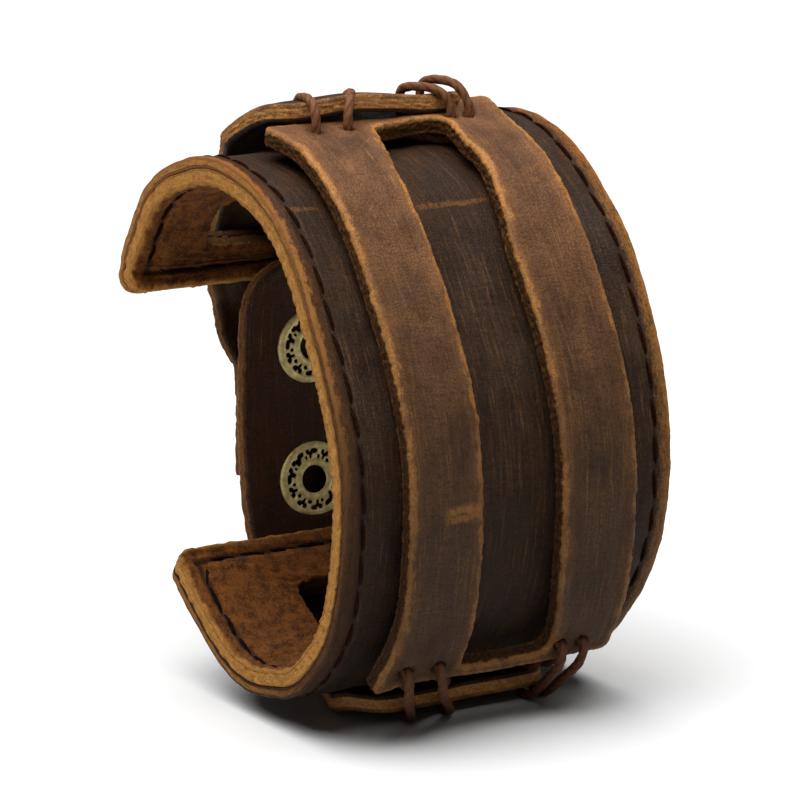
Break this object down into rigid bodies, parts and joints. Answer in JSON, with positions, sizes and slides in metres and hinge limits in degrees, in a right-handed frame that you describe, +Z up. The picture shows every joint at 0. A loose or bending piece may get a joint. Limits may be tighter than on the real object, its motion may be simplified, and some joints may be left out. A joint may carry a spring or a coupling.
{
  "type": "leather bracelet",
  "caption": "Wide lined leather cuff with a split strap panel, laced to two closing tabs that meet in ring snaps.",
  "frame": {"origin": "on the ground under the middle of the closed bracelet", "axes": "+Z up as it lies on its curved side, +Y along the wrist, +X towards the strap panel"},
  "size_m": [0.0676, 0.05, 0.0831],
  "materials": {
    "outer_leather": "smooth oiled grey-brown leather",
    "suede": "rough tan suede with a fuzzy cut edge",
    "strap_leather": "oiled brown leather with worn edges",
    "tab_leather": "oiled dark brown leather",
    "snap_brass": "antique brass",
    "waxed_cord": "waxed brown cord"
  },
  "bodies": {
    "root": {"outer_cuff": "outer_leather", "suede_lining": "suede", "strap_panel": "strap_leather", "upper_tab": "tab_leather", "lower_tab": "tab_leather", "upper_snap_cap": "snap_brass", "lower_snap_cap": "snap_brass", "upper_snap_stud": "snap_brass", "lower_snap_stud": "snap_brass", "top_lace_1": "waxed_cord", "top_lace_2": "waxed_cord", "top_lace_3": "waxed_cord", "top_lace_4": "waxed_cord", "bottom_lace_1": "waxed_cord", "bottom_lace_2": "waxed_cord", "bottom_lace_3": "waxed_cord", "bottom_lace_4": "waxed_cord"}
  },
  "joints": []
}
